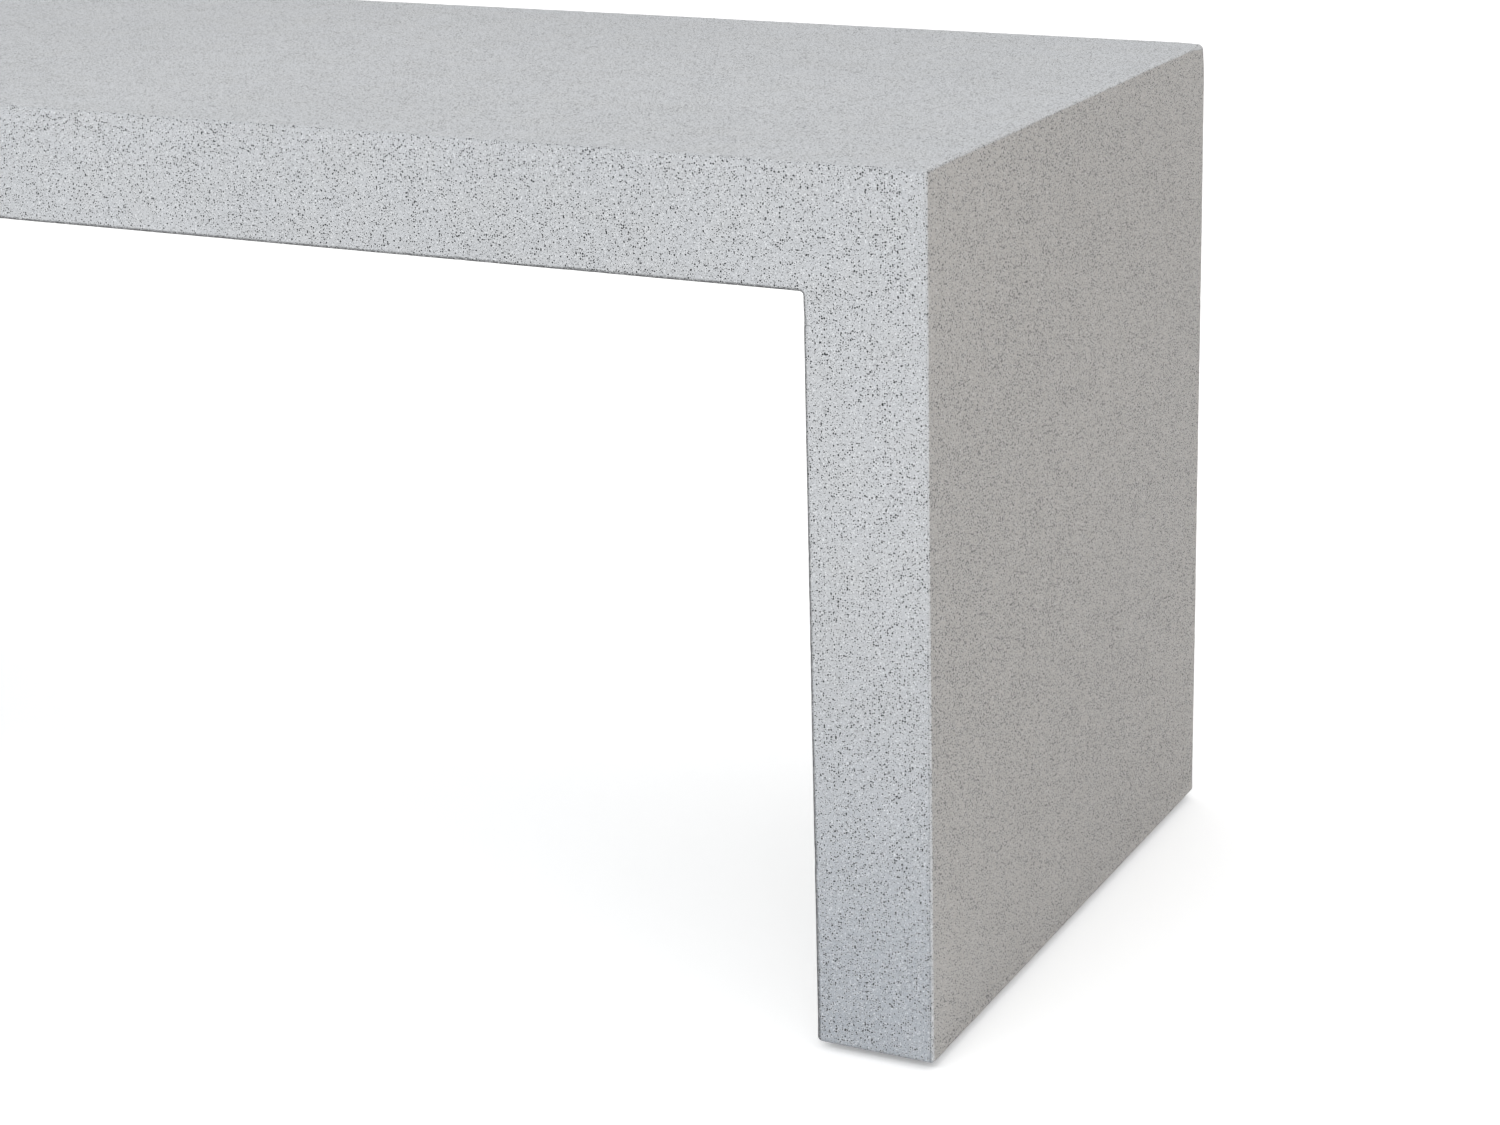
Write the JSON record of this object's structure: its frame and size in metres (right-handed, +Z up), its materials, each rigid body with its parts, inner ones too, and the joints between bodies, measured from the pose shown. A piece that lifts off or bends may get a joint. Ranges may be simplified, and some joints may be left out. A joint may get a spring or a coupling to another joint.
{
  "type": "concrete bench",
  "caption": "Waterfall bench: a flat concrete seat that turns down at both ends into full-depth concrete legs, on levelling feet hidden under the legs.",
  "frame": {"origin": "on the floor under the middle of the bench, feet screwed fully in", "axes": "+X along the bench to the right, +Y from the front face to the back, +Z up"},
  "size_m": [1.2, 0.39, 0.45],
  "materials": {
    "concrete_shell": "matte",
    "concrete_panel": "matte",
    "bonding_concrete": "matte",
    "galvanised_steel": "satin",
    "foam_infill": "matte",
    "zinc_plated_plug": "satin",
    "zinc_plated_stem": "satin",
    "black_nylon": "satin",
    "rubber_sole": "matte"
  },
  "bodies": {
    "bench": {"shell": "concrete_shell", "seat_soffit_panel": "concrete_panel", "leg_panel_left": "concrete_panel", "leg_panel_right": "concrete_panel", "leg_base_left": "concrete_panel", "leg_base_right": "concrete_panel", "seat_bonding_pads": "bonding_concrete", "soffit_bonding_pads": "bonding_concrete", "end_bonding_pads": "bonding_concrete", "leg_panel_bonding_pads": "bonding_concrete", "seat_rail_front": "galvanised_steel", "seat_rail_rear": "galvanised_steel", "leg_post_front_left": "galvanised_steel", "leg_post_front_right": "galvanised_steel", "leg_post_rear_left": "galvanised_steel", "leg_post_rear_right": "galvanised_steel", "seat_cross_tube_left": "galvanised_steel", "seat_cross_tube_right": "galvanised_steel", "seat_cross_tube_middle": "galvanised_steel", "leg_cross_tube_left": "galvanised_steel", "leg_cross_tube_right": "galvanised_steel", "corner_plates": "galvanised_steel", "seat_foam_left": "foam_infill", "seat_foam_right": "foam_infill", "corner_foam_left": "foam_infill", "corner_foam_right": "foam_infill", "leg_foam_left": "foam_infill", "leg_foam_right": "foam_infill", "post_plug_front_left": "zinc_plated_plug", "post_plug_front_right": "zinc_plated_plug", "post_plug_rear_left": "zinc_plated_plug", "post_plug_rear_right": "zinc_plated_plug"},
    "foot_front_left": {"foot_pad_front_left": "black_nylon", "foot_sole_front_left": "rubber_sole"},
    "stem_front_left": {"foot_stem_front_left": "zinc_plated_stem"},
    "foot_front_right": {"foot_pad_front_right": "black_nylon", "foot_sole_front_right": "rubber_sole"},
    "stem_front_right": {"foot_stem_front_right": "zinc_plated_stem"},
    "foot_rear_left": {"foot_pad_rear_left": "black_nylon", "foot_sole_rear_left": "rubber_sole"},
    "stem_rear_left": {"foot_stem_rear_left": "zinc_plated_stem"},
    "foot_rear_right": {"foot_pad_rear_right": "black_nylon", "foot_sole_rear_right": "rubber_sole"},
    "stem_rear_right": {"foot_stem_rear_right": "zinc_plated_stem"}
  },
  "joints": [
    {"name": "level_front_left", "type": "slide", "parent": "bench", "child": "foot_front_left", "axis": [0, 0, -1], "range_m": [0, 0.012]},
    {"name": "screw_front_left", "type": "hinge", "parent": "foot_front_left", "child": "stem_front_left", "pos_m": [-0.567, -0.163, 0.012], "axis": [0, 0, -1], "range_deg": [0, 2880]},
    {"name": "level_front_right", "type": "slide", "parent": "bench", "child": "foot_front_right", "axis": [0, 0, -1], "range_m": [0, 0.012]},
    {"name": "screw_front_right", "type": "hinge", "parent": "foot_front_right", "child": "stem_front_right", "pos_m": [0.567, -0.163, 0.012], "axis": [0, 0, -1], "range_deg": [0, 2880]},
    {"name": "level_rear_left", "type": "slide", "parent": "bench", "child": "foot_rear_left", "axis": [0, 0, -1], "range_m": [0, 0.012]},
    {"name": "screw_rear_left", "type": "hinge", "parent": "foot_rear_left", "child": "stem_rear_left", "pos_m": [-0.567, 0.163, 0.012], "axis": [0, 0, -1], "range_deg": [0, 2880]},
    {"name": "level_rear_right", "type": "slide", "parent": "bench", "child": "foot_rear_right", "axis": [0, 0, -1], "range_m": [0, 0.012]},
    {"name": "screw_rear_right", "type": "hinge", "parent": "foot_rear_right", "child": "stem_rear_right", "pos_m": [0.567, 0.163, 0.012], "axis": [0, 0, -1], "range_deg": [0, 2880]}
  ],
  "couplings": [
    {"joint": "screw_front_left", "follows": "level_front_left", "rad_per_m": 4188.8},
    {"joint": "screw_front_right", "follows": "level_front_right", "rad_per_m": 4188.8},
    {"joint": "screw_rear_left", "follows": "level_rear_left", "rad_per_m": 4188.8},
    {"joint": "screw_rear_right", "follows": "level_rear_right", "rad_per_m": 4188.8}
  ]
}
